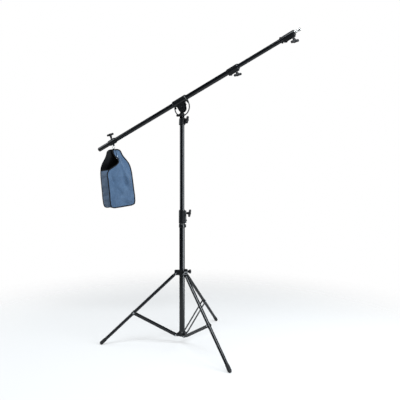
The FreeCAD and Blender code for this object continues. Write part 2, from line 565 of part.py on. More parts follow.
def make_weight_clamp():
    wall = BOOM_R + 5.0
    sleeve = turned([(0, -WEIGHT_HALF), (wall - 2, -WEIGHT_HALF), (wall, 3 - WEIGHT_HALF),
                     (wall, WEIGHT_HALF - 3), (wall - 2, WEIGHT_HALF), (0, WEIGHT_HALF)])
    face = wall + 4.0
    boss = cyl(8.5, face, V(0, 0, 0), V(-1, 0, 0))
    pin_x = HOOK_DROP
    lug = block(0, pin_x, -4.0, 4.0, -7.0, 7.0).fuse(
        cyl(7.0, 8.0, V(pin_x, -4.0, 0), V(0, 1, 0))).removeSplitter()
    lug = lug.cut(cyl(HOOK_WIRE_R + RUN, 40, V(pin_x, -20, 0), V(0, 1, 0)))
    clamp = sleeve.fuse([boss, lug]).removeSplitter().cut(cyl(BOOM_R + RUN, 200, V(0, 0, -100)))
    clamp = clamp.cut(cyl(SHANK_R + RUN, 60, V(0, 0, 0), V(-1, 0, 0)))
    write("weight_clamp", on_boom(clamp, WEIGHT_U))
    knob = moved(t_knob(face, BOOM_R + GAP, spin=120.0, reach=26.0), [((0, 0, 1), 180)])
    write("weight_knob", on_boom(knob, WEIGHT_U))


def head_point(u, v):
    a = math.radians(BOOM_TILT)
    return V(u * math.cos(a) - v * math.sin(a), 0, TILT_Z + u * math.sin(a) + v * math.cos(a))


def make_hook_and_bag():
    eye = head_point(WEIGHT_U, BOOM_V - HOOK_DROP)
    half = STRAP_W / 2 + HOOK_WIRE_R + 1.5
    low = -HOOK_LENGTH
    r = HOOK_WIRE_R
    shackle = cyl(r, 2 * half, V(0, -half, 0), V(0, 1, 0))
    sides = [cyl(r, HOOK_LENGTH, V(0, y, low), Z) for y in (-half, half)]
    bottom = cyl(r, 2 * half, V(0, -half, low), V(0, 1, 0))
    balls = [Part.makeSphere(r, V(0, y, z)) for y in (-half, half) for z in (0, low)]
    hook = shackle.fuse(sides + [bottom] + balls).removeSplitter()
    write("bag_shackle", moved(hook, (), (eye.x, eye.y, eye.z)))

    hang = V(eye.x, eye.y, eye.z + low)
    turn = [((0, 0, 1), BAG_TURN)]
    strap_r = 3.0
    reach = r + 0.4 + strap_r
    side = STRAP_W / 2
    loop = tube(reach, r + 0.4, STRAP_W, V(-side, 0, 0), V(1, 0, 0))
    tail = block(-side, side, -strap_r / 2, strap_r / 2, -BAG_TOP_DROP - 14, -r - 1.2)
    strap = moved(loop.fuse(tail).removeSplitter(), [((0, 0, 1), 90)])
    write("bag_strap", moved(strap, (), (hang.x, hang.y, hang.z)))

    top = -BAG_TOP_DROP

    def section(z, w, t):
        corner = min(w, t) * 0.32
        hw, ht = w / 2, t / 2
        plate = block(-ht, ht, -hw, hw, z, z + 1.0)
        plate = soften(plate, corner, lambda e: e.BoundBox.ZLength > 0.5)
        lowest = min(plate.Faces, key=lambda f: f.CenterOfMass.z)
        return lowest.OuterWire

    levels = [(top, BAG_TOP_W, BAG_TOP_T), (top - BAG_SHOULDER * 0.45, BAG_W * 0.68, BAG_T * 0.5),
              (top - BAG_SHOULDER, BAG_W * 0.95, BAG_T * 0.85), (top - BAG_H * 0.6, BAG_W, BAG_T),
              (top - BAG_H, BAG_W * 0.97, BAG_T * 0.9)]
    bag = Part.makeLoft([section(*level) for level in levels], True, True)
    bag = moved(bag, [((1, 0, 0), BAG_LEAN)])
    bag = bag.cut(moved(strap, [((0, 0, 1), -BAG_TURN)]))
    bag = moved(bag, turn, (hang.x, hang.y, hang.z))
    write("bag", bag)
    print("shackle pin at", [round(c, 3) for c in eye], "strap at", [round(c, 3) for c in hang])


def fold_report():
    """Prints the fold: how far the yoke rises, and how far each leg and brace turns with it."""
    travel = RING_Z - (YOKE_BOTTOM_Z + YOKE_H + 4.0) - 1.0
    base = LEG_PIVOT_Z - HUB_PIN_Z + travel
    leg = math.degrees(math.acos((LEG_TO_BRACE ** 2 + base ** 2 - BRACE_L ** 2) / (2 * LEG_TO_BRACE * base)))
    brace = math.degrees(math.acos((BRACE_L ** 2 + base ** 2 - LEG_TO_BRACE ** 2) / (2 * BRACE_L * base)))
    print(f"yoke travel {travel:.2f} mm, leg {LEG_ANGLE:.3f} to {leg:.3f} deg, "
          f"brace {BRACE_ANGLE:.3f} to {brace:.3f} deg")
    print(f"leg length {LEG_L:.2f}, brace length {BRACE_L:.2f}, pin to brace {LEG_TO_BRACE:.2f}")


os.makedirs("parts", exist_ok=True)
make_hub()
make_yoke()
make_legs()
make_braces()
make_column()
make_head()
make_saddle()
make_boom()
make_weight_clamp()
make_hook_and_bag()
fold_report()
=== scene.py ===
# %% [markdown]
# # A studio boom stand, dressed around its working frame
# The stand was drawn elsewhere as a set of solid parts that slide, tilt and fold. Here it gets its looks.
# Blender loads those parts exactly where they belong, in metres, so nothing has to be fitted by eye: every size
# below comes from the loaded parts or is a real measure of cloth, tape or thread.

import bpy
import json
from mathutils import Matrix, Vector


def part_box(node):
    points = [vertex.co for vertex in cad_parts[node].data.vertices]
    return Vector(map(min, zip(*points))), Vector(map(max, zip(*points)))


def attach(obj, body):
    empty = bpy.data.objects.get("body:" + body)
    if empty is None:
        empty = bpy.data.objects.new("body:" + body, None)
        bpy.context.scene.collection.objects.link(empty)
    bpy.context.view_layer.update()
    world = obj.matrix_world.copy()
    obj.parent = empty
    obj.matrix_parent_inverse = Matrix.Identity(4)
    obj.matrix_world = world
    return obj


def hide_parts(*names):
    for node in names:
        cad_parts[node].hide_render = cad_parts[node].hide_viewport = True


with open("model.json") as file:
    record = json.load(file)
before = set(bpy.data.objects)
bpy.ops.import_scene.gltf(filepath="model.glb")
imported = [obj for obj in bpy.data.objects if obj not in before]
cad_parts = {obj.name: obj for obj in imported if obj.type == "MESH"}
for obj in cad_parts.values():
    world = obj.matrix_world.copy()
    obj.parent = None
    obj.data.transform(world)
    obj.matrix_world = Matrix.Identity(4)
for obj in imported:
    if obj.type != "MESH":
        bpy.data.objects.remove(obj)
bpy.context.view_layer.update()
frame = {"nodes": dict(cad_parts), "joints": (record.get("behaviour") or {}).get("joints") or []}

# %% Tools of the trade
import json
import math

import bpy
import numpy as np
from mathutils import Vector, noise

MM = 0.001
nodes = frame["nodes"]
joints = {j["name"]: j for j in frame["joints"]}

# %% [markdown]
# ## The camera
# A product picture of something this tall is taken from far off with a mild lens, level, at about the height of the
# middle of the stand, so that the column stays upright in the picture. Turning the camera about the column by
# 30 degrees shows the boom long and its counterweight bag three-quarters on. A lens shift, as on a view camera,
# moves the picture down a little without tipping the camera, which would make the column lean.

# %% Camera
VIEW_TURN = math.radians(30.0)
VIEW_DISTANCE = 2.685
VIEW_ASIDE = 0.1154
EYE_HEIGHT = 0.989
LENS = 37.56
LENS_SHIFT = -0.026

look = Vector((-math.sin(VIEW_TURN), math.cos(VIEW_TURN), 0))
aside = Vector((math.cos(VIEW_TURN), math.sin(VIEW_TURN), 0))
camera = bpy.data.objects.new("camera", bpy.data.cameras.new("camera"))
bpy.context.scene.collection.objects.link(camera)
camera.location = aside * VIEW_ASIDE - look * VIEW_DISTANCE + Vector((0, 0, EYE_HEIGHT))
camera.rotation_euler = (math.pi / 2, 0, VIEW_TURN)
camera.data.lens = LENS
camera.data.shift_y = LENS_SHIFT
bpy.context.scene.camera = camera
print("camera at", tuple(round(c, 3) for c in camera.location))

# %% [markdown]
# ## The studio
# Black enamel shows only what it reflects, so the lights are the drawing tool here. A tall narrow wall of light on the
# right puts one long highlight down every tube, a weaker box on the left finds the other flank, and one high up in
# front lights the cloth and the tops of the castings. The backdrop is white for the camera alone: everything else
# sees a dim room, so the enamel stays black. The lamps are a touch cool, as daylight lamps are.

# %% World and lights
WORLD_FILL = 0.06
BACKDROP = 1.0
LAMP_TINT = (0.88, 0.95, 1.0)

world = bpy.data.worlds.new("studio")
bpy.context.scene.world = world
world.use_nodes = True
sky = world.node_tree
fill = sky.nodes["Background"]
fill.inputs["Color"].default_value = (0.92, 0.96, 1.0, 1)
fill.inputs["Strength"].default_value = WORLD_FILL
backdrop = sky.nodes.new("ShaderNodeBackground")
backdrop.inputs["Color"].default_value = (1, 1, 1, 1)
backdrop.inputs["Strength"].default_value = BACKDROP
seen = sky.nodes.new("ShaderNodeLightPath")
either = sky.nodes.new("ShaderNodeMixShader")
sky.links.new(seen.outputs["Is Camera Ray"], either.inputs[0])
sky.links.new(fill.outputs[0], either.inputs[1])
sky.links.new(backdrop.outputs[0], either.inputs[2])
sky.links.new(either.outputs[0], sky.nodes["World Output"].inputs[0])


def soft_box(name, place, target, width, height, power):
    """A rectangular area light that faces its target."""
    light = bpy.data.lights.new(name, "AREA")
    light.shape = "RECTANGLE"
    light.size, light.size_y, light.energy = width, height, power
    light.color = LAMP_TINT
    lamp = bpy.data.objects.new(name, light)
    bpy.context.scene.collection.objects.link(lamp)
    lamp.location = place
    lamp.rotation_euler = (Vector(target) - Vector(place)).to_track_quat("-Z", "Y").to_euler()
    return lamp


MIDDLE = Vector((0, 0, 1.0))
soft_box("right_wall", MIDDLE + aside * 2.5 - look * 1.4, MIDDLE, 1.8, 3.0, 120)
soft_box("left_box", MIDDLE - aside * 3.2 + look * 0.4 + Vector((0, 0, 0.6)), MIDDLE, 1.6, 2.0, 30)
soft_box("top_box", MIDDLE - look * 1.6 + Vector((0, 0, 2.6)), MIDDLE, 3.0, 0.9, 90)
bpy.context.scene.view_settings.view_transform = "Standard"
print("three soft boxes")

# %% [markdown]
# ## Writing materials as arithmetic
# A material is a little network of nodes. Wiring one by hand hides the idea behind boxes, so a small class wraps a
# socket and lets ordinary Python operators add the boxes: `0.3 + noise * 0.1` becomes two Math nodes. Anything that
# isn't arithmetic comes from one method, `node`, which sets a node's choices first and then its sockets.

# %% A socket that does arithmetic
class Signal:
    """One output of a shader node; operators on it add Math or Vector Math nodes."""

    def __init__(self, finish, socket):
        self.finish, self.socket = finish, socket

    def maths(self, operation, *terms):
        kind = "Math" if self.socket.type == "VALUE" else "VectorMath"
        return self.finish.node(kind, {"operation": operation}, *terms)

    def __add__(self, other):
        return self.maths("ADD", self, other)

    def __sub__(self, other):
        return self.maths("SUBTRACT", self, other)

    def __rsub__(self, other):
        return self.maths("SUBTRACT", other, self)

    def __mul__(self, other):
        return self.maths("MULTIPLY", self, other)

    __radd__, __rmul__ = __add__, __mul__

    def dot(self, other):
        return self.finish.node("VectorMath", {"operation": "DOT_PRODUCT"}, self, other, out="Value")

    def length(self):
        return self.finish.node("VectorMath", {"operation": "LENGTH"}, self, out="Value")

    def sine(self):
        return self.maths("SINE", self)

    def absolute(self):
        return self.maths("ABSOLUTE", self)

    def step(self, low, high):
        """0 below low, 1 above high, smooth in between."""
        return self.finish.node("MapRange", {"interpolation_type": "SMOOTHSTEP"}, self, low, high)


# %% A material with its shader
class Finish:
    """A material: one Principled shader, and the nodes that feed it."""

    def __init__(self, name):
        self.material = bpy.data.materials.new(name)
        self.material.use_nodes = True
        self.tree = self.material.node_tree
        self.tree.nodes.clear()
        self.shader = self.tree.nodes.new("ShaderNodeBsdfPrincipled")
        output = self.tree.nodes.new("ShaderNodeOutputMaterial")
        self.tree.links.new(self.shader.outputs[0], output.inputs[0])

    def node(self, kind, settings=None, *values, out=0, **sockets):
        made = self.tree.nodes.new("ShaderNode" + kind)
        for name, setting in (settings or {}).items():
            setattr(made, name, setting)
        for socket, value in zip(made.inputs, values):
            self.feed(socket, value)
        for name, value in sockets.items():
            self.feed(self.find(made.inputs, name), value)
        return Signal(self, self.find(made.outputs, out))

    def find(self, sockets, name):
        if isinstance(name, int):
            return sockets[name]
        return next(s for s in sockets if name in (s.identifier, s.name.replace(" ", "_")))

    def feed(self, socket, value):
        if isinstance(value, Signal):
            self.tree.links.new(value.socket, socket)
        elif isinstance(value, (int, float)):
            socket.default_value = value if socket.type == "VALUE" else [value] * 3
        else:
            length = len(socket.default_value)
            socket.default_value = list(value) + [1.0] * (length - len(value))

    def set(self, **sockets):
        for name, value in sockets.items():
            self.feed(self.find(self.shader.inputs, name), value)
        return self

    def place(self):
        return self.node("TexCoord", out="Object")

    def noise(self, where, size, detail=2.0, roughness=0.5):
        """Noise from 0 to 1 whose lumps are about size metres across."""
        return self.node("TexNoise", None, Vector=where, Scale=1.0 / size, Detail=detail, Roughness=roughness)

    def combed(self, where, direction, stretch):
        """The place squeezed along direction, so that noise on it is drawn out that way."""
        along = where.dot(direction)
        return where - self.node("CombineXYZ", None, *[along * c * stretch for c in direction])

    def blend(self, share, one, other):
        """One colour turning to the other as share goes from 0 to 1."""
        return self.node("Mix", {"data_type": "RGBA"}, out="Result_Color", Factor_Float=share, A_Color=one,
                         B_Color=other)

    def relief(self, height, depth):
        """Bumps of that height in metres, for the shader's Normal."""
        self.set(Normal=self.node("Bump", None, Height=height, Distance=depth, Strength=1.0))
        return self

    def wear(self, *names):
        """Puts the finish on those parts."""
        for name in names:
            data = nodes[name].data
            data.materials.clear()
            data.materials.append(self.material)
        return self


print("finishes are ready to mix")

# %% [markdown]
# ## Stove enamel on drawn tube
# The tubes are steel, drawn through a die and then sprayed and baked black. Close to, the coat is smooth but not
# flat: it has the faint dimples of sprayed paint and, under it, the long lines of drawing. A clear top coat gives
# the sharp highlight. Where one tube slides in another the gloss is rubbed along its length. Each tube needs its
# own direction for those lines, so the direction goes in as a vector and the noise is stretched along it.

# %% Tube enamel
ENAMEL = (0.002, 0.0028, 0.004)
ENAMEL_DUST = (0.0045, 0.006, 0.009)
DIMPLE = 0.9 * MM
DRAW_LINE = 0.7 * MM
DRAW_STRETCH = 0.97
ENAMEL_DEPTH = 0.0008 * MM


def enamel(name, direction):
    finish = Finish(name)
    where = finish.place()
    lines = finish.noise(finish.combed(where, direction, DRAW_STRETCH), DRAW_LINE, detail=3.0)
    dimples = finish.noise(where, DIMPLE)
    patches = finish.noise(where, 40 * MM, detail=4.0, roughness=0.6)
    finish.set(Base_Color=finish.blend(patches.step(0.45, 0.75), ENAMEL, ENAMEL_DUST),
               Roughness=0.14 + patches * 0.08 + lines * 0.05, Coat_Weight=0.25 - patches * 0.1,
               Coat_Roughness=0.08, Specular_IOR_Level=0.5)
    return finish.relief(dimples * 0.7 + lines * 0.3, ENAMEL_DEPTH)


def span(name):
    """The unit vector along a leg's tube or a brace, from the joint it turns on to its middle."""
    low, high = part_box(name)
    number = name.split("_")[1]
    pin = Vector(joints[name.split("_")[0] + "_" + number + "_hinge"]["pos_m"])
    return ((low + high) / 2 - pin).normalized()


LEGS = (1, 2, 3)
slide_line = Vector(joints["boom_slide"]["axis"])
enamel("column_enamel", (0, 0, 1)).wear("lower_tube", "riser_tube", "column_plug", "riser_guide")
enamel("boom_enamel", slide_line).wear("boom_outer_tube", "boom_inner_tube", "boom_inner_guide")
for leg in LEGS:
    enamel(f"leg_{leg}_enamel", span(f"leg_{leg}_tube")).wear(f"leg_{leg}_tube")
    enamel(f"brace_{leg}_enamel", span(f"brace_{leg}_strips")).wear(f"brace_{leg}_strips")
print("boom runs along", tuple(round(c, 3) for c in slide_line))

# %% [markdown]
# ## Powder coat on the castings
# The hub, yoke, collars and saddle are aluminium, cast under pressure and powder coated. Powder melts into a skin
# with a fine pebble, a little larger than the enamel's dimples, and softer highlights. Two sizes of noise make the
# pebble, and a slow one changes the gloss from one face to the next, as handling does.

# %% Powder coat
POWDER = (0.0022, 0.0028, 0.0038)
POWDER_HANDLED = (0.006, 0.007, 0.009)
PEBBLE = 0.45 * MM
POWDER_DEPTH = 0.004 * MM

coat = Finish("powder_coat")
where = coat.place()
pebble = coat.noise(where, PEBBLE, detail=3.0, roughness=0.6)
swell = coat.noise(where, 1.6 * MM)
handled = coat.noise(where, 22 * MM, detail=4.0, roughness=0.65)
coat.set(Base_Color=coat.blend(handled.step(0.4, 0.8), POWDER, POWDER_HANDLED),
         Roughness=0.22 + handled * 0.14 + pebble * 0.05, Coat_Weight=handled * 0.3, Coat_Roughness=0.12,
         Specular_IOR_Level=0.5)
coat.relief(pebble * 0.6 + swell * 0.4, POWDER_DEPTH)
castings = [n for n in nodes if n in ("hub", "yoke", "column_collar", "stop_ring", "head_post", "saddle",
                                      "boom_collar", "tip_stop_ring", "tip_collar", "weight_clamp")]
castings += [n for n in nodes if n.endswith(("_eye", "_clip"))]
coat.wear(*castings)
print(len(castings), "castings coated")

# %% [markdown]
# ## Moulded plastic
# The handles, bushes, caps and plugs are moulded. The mould's spark-eroded face prints a matt leather-like grain on
# the handles, drawn here with Voronoi cells a third of a millimetre wide; the bushes are plain smooth nylon.

# %% Handle plastic and nylon
GRAIN = 0.35 * MM
GRAIN_DEPTH = 0.015 * MM

handle = Finish("handle_plastic")
where = handle.place()
cells = handle.node("TexVoronoi", {"feature": "SMOOTH_F1"}, Vector=where, Scale=1 / GRAIN)
sheen = handle.noise(where, 9 * MM, detail=3.0)
handle.set(Base_Color=handle.blend(sheen.step(0.35, 0.75), (0.003, 0.003, 0.004), (0.008, 0.008, 0.010)),
           Roughness=0.34 + sheen * 0.16 + cells * 0.06, Specular_IOR_Level=0.35)
handle.relief(cells, GRAIN_DEPTH)
handle.wear(*[n for n in nodes if n.endswith("_knob")], "boom_tail_cap")

nylon = Finish("bush_nylon")
where = nylon.place()
cloudy = nylon.noise(where, 5 * MM, detail=3.0)
nylon.set(Base_Color=nylon.blend(cloudy, (0.50, 0.50, 0.46), (0.60, 0.60, 0.57)),
          Roughness=0.38 + cloudy * 0.1, Subsurface_Weight=0.1, Subsurface_Scale=0.01)
nylon.relief(nylon.noise(where, 0.8 * MM), 0.02 * MM)
nylon.wear("column_bush", "boom_bush", "saddle_liner")
print("handles and bushes moulded")

# %% [markdown]
# ## Bright metals
# Rivets and pins are zinc plated and screws are blackened. The arc plate is sheet steel that was rolled and then
# tumbled, and the spigot and hook are nickel. They differ in tint and in how their fine marks run, so one recipe
# takes the tint, the roughness and the direction of its scratches.

# %% Rivets, arc plate and nickel
MARK = 0.5 * MM
MARK_DEPTH = 0.006 * MM


def bright_metal(name, tint, stain, rough, direction=(0, 0, 1), stretch=0.0):
    finish = Finish(name)
    where = finish.place()
    marks = finish.noise(finish.combed(where, direction, stretch), MARK, detail=4.0, roughness=0.65)
    clouds = finish.noise(where, 7 * MM, detail=3.0)
    finish.set(Base_Color=finish.blend(clouds.step(0.4, 0.8), tint, stain), Metallic=1.0,
               Roughness=rough + marks * 0.14 + clouds * 0.05)
    return finish.relief(marks, MARK_DEPTH)


zinc = bright_metal("zinc_plate", (0.62, 0.63, 0.65), (0.45, 0.46, 0.48), 0.22)
zinc.wear("hub_pins", "leg_pins", *[n for n in nodes if n.endswith("_rivets")])
arc_steel = bright_metal("arc_steel", (0.30, 0.31, 0.33), (0.20, 0.21, 0.23), 0.26, (1, 0, 0), 0.9)
arc_steel.wear("arc_plate")
nickel = bright_metal("nickel_plate", (0.74, 0.73, 0.71), (0.62, 0.61, 0.59), 0.12, slide_line, 0.95)
nickel.wear("spigot", "bag_shackle")
screws = bright_metal("black_screw", (0.03, 0.03, 0.032), (0.05, 0.05, 0.052), 0.3)
screws.wear("collar_screw", "boom_collar_screw", "tip_screw", "arc_screws", "tilt_bolt", "tilt_nut")

rubber = Finish("foot_rubber")
where = rubber.place()
bloom = rubber.noise(where, 6 * MM, detail=4.0)
rubber.set(Base_Color=rubber.blend(bloom.step(0.45, 0.8), (0.011, 0.011, 0.012), (0.026, 0.026, 0.027)),
           Roughness=0.6 + bloom * 0.2)
rubber.relief(rubber.noise(where, 0.5 * MM, detail=3.0), 0.05 * MM)
rubber.wear(*[n for n in nodes if n.endswith("_foot_cap")])
print("metals and rubber done")

# %% [markdown]
# ## The counterweight bag: its plan
# The bag is two tall cloth panels, shaped like a bottle's outline, joined by a strip of the same cloth that runs
# down one side, under the bottom and up the other. The strip stops at the shoulders, so above it the bag is open at
# both sides, and sand or weights go in there. All the edges are bound with folded black tape. It could be carved
# from a block, but cloth shows what it is at its edges and folds, so it's drawn as the tailor cuts it: widths at a
# few heights, smooth curves between them, and the panels lofted over those. It hangs a little askew from its hook.

# %% The bag's frame of reference
BAG_TURN = math.radians(-21.0)
BAG_LEAN = math.radians(7.0)

wire_low, wire_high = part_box("bag_shackle")
hook_point = Vector(((wire_low.x + wire_high.x) / 2, 0, wire_low.z + 2 * MM))
facing = Vector((math.cos(BAG_TURN), math.sin(BAG_TURN), 0))
upright_across = Vector((-math.sin(BAG_TURN), math.cos(BAG_TURN), 0))
across = upright_across * math.cos(BAG_LEAN) + Vector((0, 0, 1)) * math.sin(BAG_LEAN)
down = upright_across * math.sin(BAG_LEAN) - Vector((0, 0, 1)) * math.cos(BAG_LEAN)


def in_bag(a, drop, out):
    """A point of the bag: a across its face, drop below the hook, out towards its front, all in metres."""
    return hook_point + across * a + down * drop + facing * out


cad_low, cad_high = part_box("bag")
print("hook at", tuple(round(c, 3) for c in hook_point))
print("bag solid", round(cad_high.z - cad_low.z, 3), "m tall")

# %% The tailor's measures
# (drop below the hook, half width): the whole outline, in millimetres
OUTLINE = [(6, 24), (9, 36), (20, 46), (45, 54), (70, 66), (95, 80), (120, 89), (150, 93),
           (220, 95), (300, 96), (370, 97), (395, 94), (408, 84), (412, 70)]
# (drop, place of the edge): the front panel's near edge, whose shoulder is tucked in below the neck
TUCKED = [(6, -12), (20, -14), (40, -8), (62, 2), (84, 14), (100, 10), (116, -10), (132, -46), (146, -76),
          (165, -91), (220, -95), (300, -96), (370, -97), (395, -94), (408, -84), (412, -70)]
# (drop, half depth): how far each panel stands from the bag's middle
DEPTH = [(6, 8), (20, 9), (50, 14), (90, 28), (130, 42), (170, 49), (260, 53), (350, 53), (412, 50)]
SHOULDER = 146
FOOT = 412


def smooth_curve(points, at):
    """A smooth line through (place, value) points, read at each place in at."""
    xs, ys = (np.array(c, float) for c in zip(*points))
    slopes = np.gradient(ys, xs)
    i = np.clip(np.searchsorted(xs, at) - 1, 0, len(xs) - 2)
    h = xs[i + 1] - xs[i]
    t = np.clip((at - xs[i]) / h, 0, 1)
    return ((2 * t**3 - 3 * t**2 + 1) * ys[i] + (t**3 - 2 * t**2 + t) * h * slopes[i]
            + (3 * t**2 - 2 * t**3) * ys[i + 1] + (t**3 - t**2) * h * slopes[i + 1])


COLUMNS, STRIP = 44, 16
drops = np.concatenate([np.linspace(6, SHOULDER, 32)[:-1], np.linspace(SHOULDER, 390, 48)[:-1],
                        np.linspace(390, FOOT, 12)])
shoulder_row = int(np.argmin(abs(drops - SHOULDER)))
near_edge = {1: smooth_curve(TUCKED, drops), -1: -smooth_curve(OUTLINE, drops)}
far_edge = smooth_curve(OUTLINE, drops)
half_depth = smooth_curve(DEPTH, drops)
print(len(drops), "rows of cloth, the side strip from row", shoulder_row)

# %% [markdown]
# ### How the cloth falls
# Cloth hung from one point pulls tight in lines from that point to where the weight is, and goes slack between
# them. Here one broad fold runs from the hook down to the far corner, shallower ones cross the lower half, and the
# sides of the strip buckle where the panels pull on it. Each fold is a soft ridge along a line; the sum of them
# moves the panel in or out.

# %% Folds
# (across, drop) at each end of a fold in millimetres, its width, and its height out of the panel
FRONT_FOLDS = [((20, 66), (62, 300), 13, 12.0), ((40, 74), (24, 270), 15, -9.0),
               ((0, 116), (-66, 220), 15, 6.0), ((-60, 240), (60, 345), 22, 4.5),
               ((-20, 345), (84, 385), 14, 3.6), ((-88, 385), (-30, 300), 13, 4.0),
               ((84, 150), (56, 270), 12, 5.0), ((-84, 175), (-40, 260), 11, -4.0),
               ((40, 395), (88, 330), 12, 3.6)]
BACK_FOLDS = [((-10, 60), (-50, 320), 17, 9.0), ((16, 70), (40, 300), 15, -7.0),
              ((60, 200), (-40, 300), 18, 4.5), ((-80, 340), (10, 390), 13, 3.6),
              ((80, 380), (30, 300), 12, 3.6)]
STRIP_FOLDS = [((-40, 190), (40, 205), 8, -4.5), ((-40, 262), (40, 246), 9, 4.0),
               ((-40, 318), (40, 330), 8, -5.0), ((-40, 352), (40, 344), 7, 4.0)]


def fold_height(folds, a, drop):
    """The sum of soft ridges at the place (a, drop), in millimetres."""
    total = np.zeros(np.broadcast(a, drop).shape)
    for (a0, d0), (a1, d1), width, height in folds:
        da, dd = a1 - a0, d1 - d0
        length = math.hypot(da, dd)
        along = ((a - a0) * da + (drop - d0) * dd) / length
        off = ((a - a0) * dd - (drop - d0) * da) / length
        share = np.clip(along / length, 0, 1)
        spread = width * (0.75 + 0.7 * share)
        fade = np.clip(along / width + 0.5, 0, 1) * np.clip((length - along) / width + 0.5, 0, 1)
        total += height * np.exp(-(off / spread) ** 2) * fade * np.sin(math.pi * (0.12 + 0.8 * share))
    return total


def slack(a, drop, seed):
    """The unplanned unevenness of hung cloth, in millimetres: long soft waves and shorter ones on them."""
    long_wave = noise.noise(Vector((a / 34 + drop / 160, drop / 90 - a / 200, seed)))
    short_wave = noise.noise(Vector((a / 15 - drop / 90, drop / 34, seed + 5.0)))
    return 3.4 * long_wave + 1.7 * short_wave


print(len(FRONT_FOLDS) + len(BACK_FOLDS) + 2 * len(STRIP_FOLDS), "folds")

# %% [markdown]
# ### Lofting the shell
# Both panels are grids of the same rows, so the strip can be sewn to them vertex to vertex. The filling pushes each
# panel out in the middle, more in the belly of the bag than at its neck.

# %% The bag's shell
BELLY = 9.0
FOLD_DEPTH = 1.5
points, threads, faces = [], [], []


def add_point(a, drop, out, thread):
    points.append(in_bag(a * MM, drop * MM, out * MM))
    threads.append((thread[0] * MM, thread[1] * MM, 0))
    return len(points) - 1


def sag(drop):
    """How much of the belly's swell there is at this height, from 0 to 1."""
    return np.clip((drop - 60) / 130, 0, 1) * (1 - 0.35 * np.clip((drop - 330) / 80, 0, 1))


panel = {}
for side, folds in ((1, FRONT_FOLDS), (-1, BACK_FOLDS)):
    grid = np.zeros((len(drops), COLUMNS + 1), int)
    for i, drop in enumerate(drops):
        for j in range(COLUMNS + 1):
            s = j / COLUMNS
            a = near_edge[side][i] * (1 - s) + far_edge[i] * s
            crown = (1 - abs(2 * s - 1) ** 2.4) * BELLY * sag(drop)
            held = min(1, 5 * s, 5 * (1 - s), (FOOT - drop) / 25 + 0.15)
            folded = FOLD_DEPTH * fold_height(folds, np.array(a), np.array(drop))
            crease = (folded + slack(a, drop, side * 9.0)) * held
            grid[i, j] = add_point(a, drop, side * (half_depth[i] + crown + float(crease)), (a, drop))
    panel[side] = grid


def stitch_grid(grid, flip):
    for i in range(grid.shape[0] - 1):
        for j in range(grid.shape[1] - 1):
            face = [grid[i, j], grid[i + 1, j], grid[i + 1, j + 1], grid[i, j + 1]]
            faces.append([int(v) for v in (face[::-1] if flip else face)])


stitch_grid(panel[1], False)
stitch_grid(panel[-1], True)
print(len(points), "points in the panels")

# %% The side and bottom strip
def strip_path(side):
    """The panel's lower edge as grid places: down the near side, along the bottom, up the far side."""
    last = len(drops) - 1
    down_near = [(i, 0) for i in range(shoulder_row, last)]
    bottom = [(last, j) for j in range(COLUMNS)]
    up_far = [(i, COLUMNS) for i in range(last, shoulder_row - 1, -1)]
    return [panel[side][i, j] for i, j in down_near + bottom + up_far]


front_path, back_path = strip_path(1), strip_path(-1)
strip = np.zeros((len(front_path), STRIP + 1), int)
run = 0.0
for i, (f, b) in enumerate(zip(front_path, back_path)):
    run += (points[f] - points[front_path[i - 1]]).length / MM if i else 0
    strip[i, 0], strip[i, STRIP] = f, b
    for k in range(1, STRIP):
        s = k / STRIP
        spot = points[f].lerp(points[b], s)
        local = spot - hook_point
        a, drop = local.dot(across) / MM, local.dot(down) / MM
        outward = Vector((a / 96, max(0.0, drop - 385) / 30)).normalized()
        bulge = (1 - abs(2 * s - 1) ** 2.2) * (4.0 if drop < 395 else 1.0)
        bulge += float(fold_height(STRIP_FOLDS, np.array((s - 0.5) * 100), np.array(drop))) * 0.8
        bulge += slack(s * 100, drop, 3.0) * min(1, 5 * s, 5 * (1 - s)) * 0.7
        spot += (across * outward.x + down * outward.y) * bulge * MM
        points.append(spot)
        threads.append((s * 0.1 + 0.2, run * MM, 0))
        strip[i, k] = len(points) - 1
stitch_grid(strip, True)


def build(name, verts, polygons, finish=None, smooth=True):
    """A mesh object in the scene."""
    mesh = bpy.data.meshes.new(name)
    mesh.from_pydata([tuple(v) for v in verts], [], polygons)
    if smooth:
        mesh.shade_smooth()
    if finish:
        mesh.materials.append(finish.material)
    made = bpy.data.objects.new(name, mesh)
    bpy.context.scene.collection.objects.link(made)
    return made


def lay_threads(mesh, places):
    """Each vertex keeps its place on the flat cloth, in metres."""
    attribute = mesh.attributes.new("threads", "FLOAT_VECTOR", "POINT")
    attribute.data.foreach_set("vector", np.array(places, np.float32).ravel())


bag = build("bag_cloth", points, faces)
bag_mesh = bag.data
lay_threads(bag_mesh, threads)
print(len(bag_mesh.polygons), "faces of cloth")

# %% [markdown]
# ### Cloth with a lining
# The cloth is a coated polyester: slate-blue threads outside and a black rubbery coating inside, which is what
# shows through the open sides. A Solidify modifier gives the sheet its thickness and puts a second material on the
# inner face. The thread pattern is worked out from where each point lay on the flat cloth, which the mesh carries
# as an attribute, so it follows every fold.

# %% Woven cloth
THREAD = 0.9 * MM
CLOTH = (0.066, 0.125, 0.222)
CLOTH_WORN = (0.100, 0.172, 0.285)
CLOTH_GAP = (0.026, 0.054, 0.104)
CLOTH_THICK = 1.2 * MM

